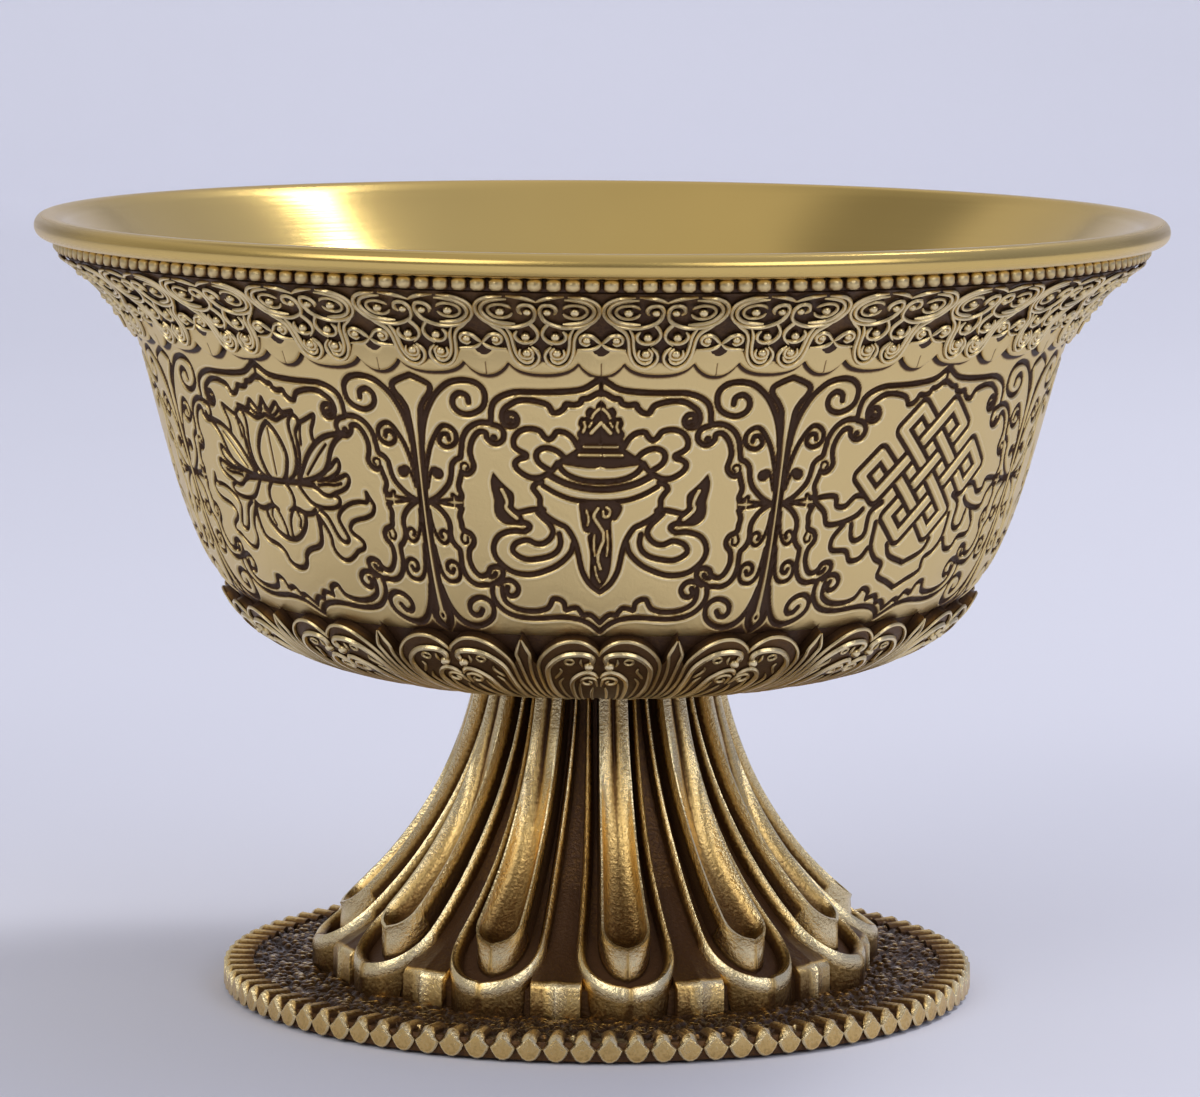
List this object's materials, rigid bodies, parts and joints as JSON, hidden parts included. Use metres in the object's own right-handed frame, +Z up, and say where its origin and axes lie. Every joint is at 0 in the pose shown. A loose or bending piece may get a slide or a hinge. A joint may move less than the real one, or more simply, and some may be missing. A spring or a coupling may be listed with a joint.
{
  "type": "offering cup",
  "caption": "Footed brass offering cup: flared engraved bowl with a bright lift-out liner, filigree collar and beaded lip, on a fluted lotus stem and round beaded base.",
  "frame": {"origin": "middle of the flat face that the cup stands on", "axes": "+Z up along the cup's axis, -Y towards the viewer of the front panel with the treasure vase, +X to the viewer's right"},
  "size_m": [0.105, 0.105, 0.0727],
  "materials": {
    "turned_brass": "bright, turned on a lathe",
    "engraved_brass": "satin, with dark patina in the engraving",
    "antique_brass": "dark patina, rubbed bright on the raised edges",
    "cast_brass": "grainy casting, dark patina, rubbed bright on the edges",
    "zinc_steel": "zinc plated"
  },
  "bodies": {
    "cup": {"bowl_shell": "engraved_brass", "lip_beading": "antique_brass", "filigree_band": "antique_brass", "calyx": "antique_brass", "stem": "cast_brass", "base_plate": "cast_brass", "base_beading": "antique_brass", "tie_bolt": "zinc_steel", "bolt_washer": "zinc_steel", "foot_washer": "zinc_steel", "foot_nut": "zinc_steel"},
    "liner": {"bowl_liner": "turned_brass"}
  },
  "joints": [
    {"name": "liner_lift", "type": "slide", "parent": "cup", "child": "liner", "axis": [0, 0, 1], "range_m": [0, 0.06]}
  ]
}
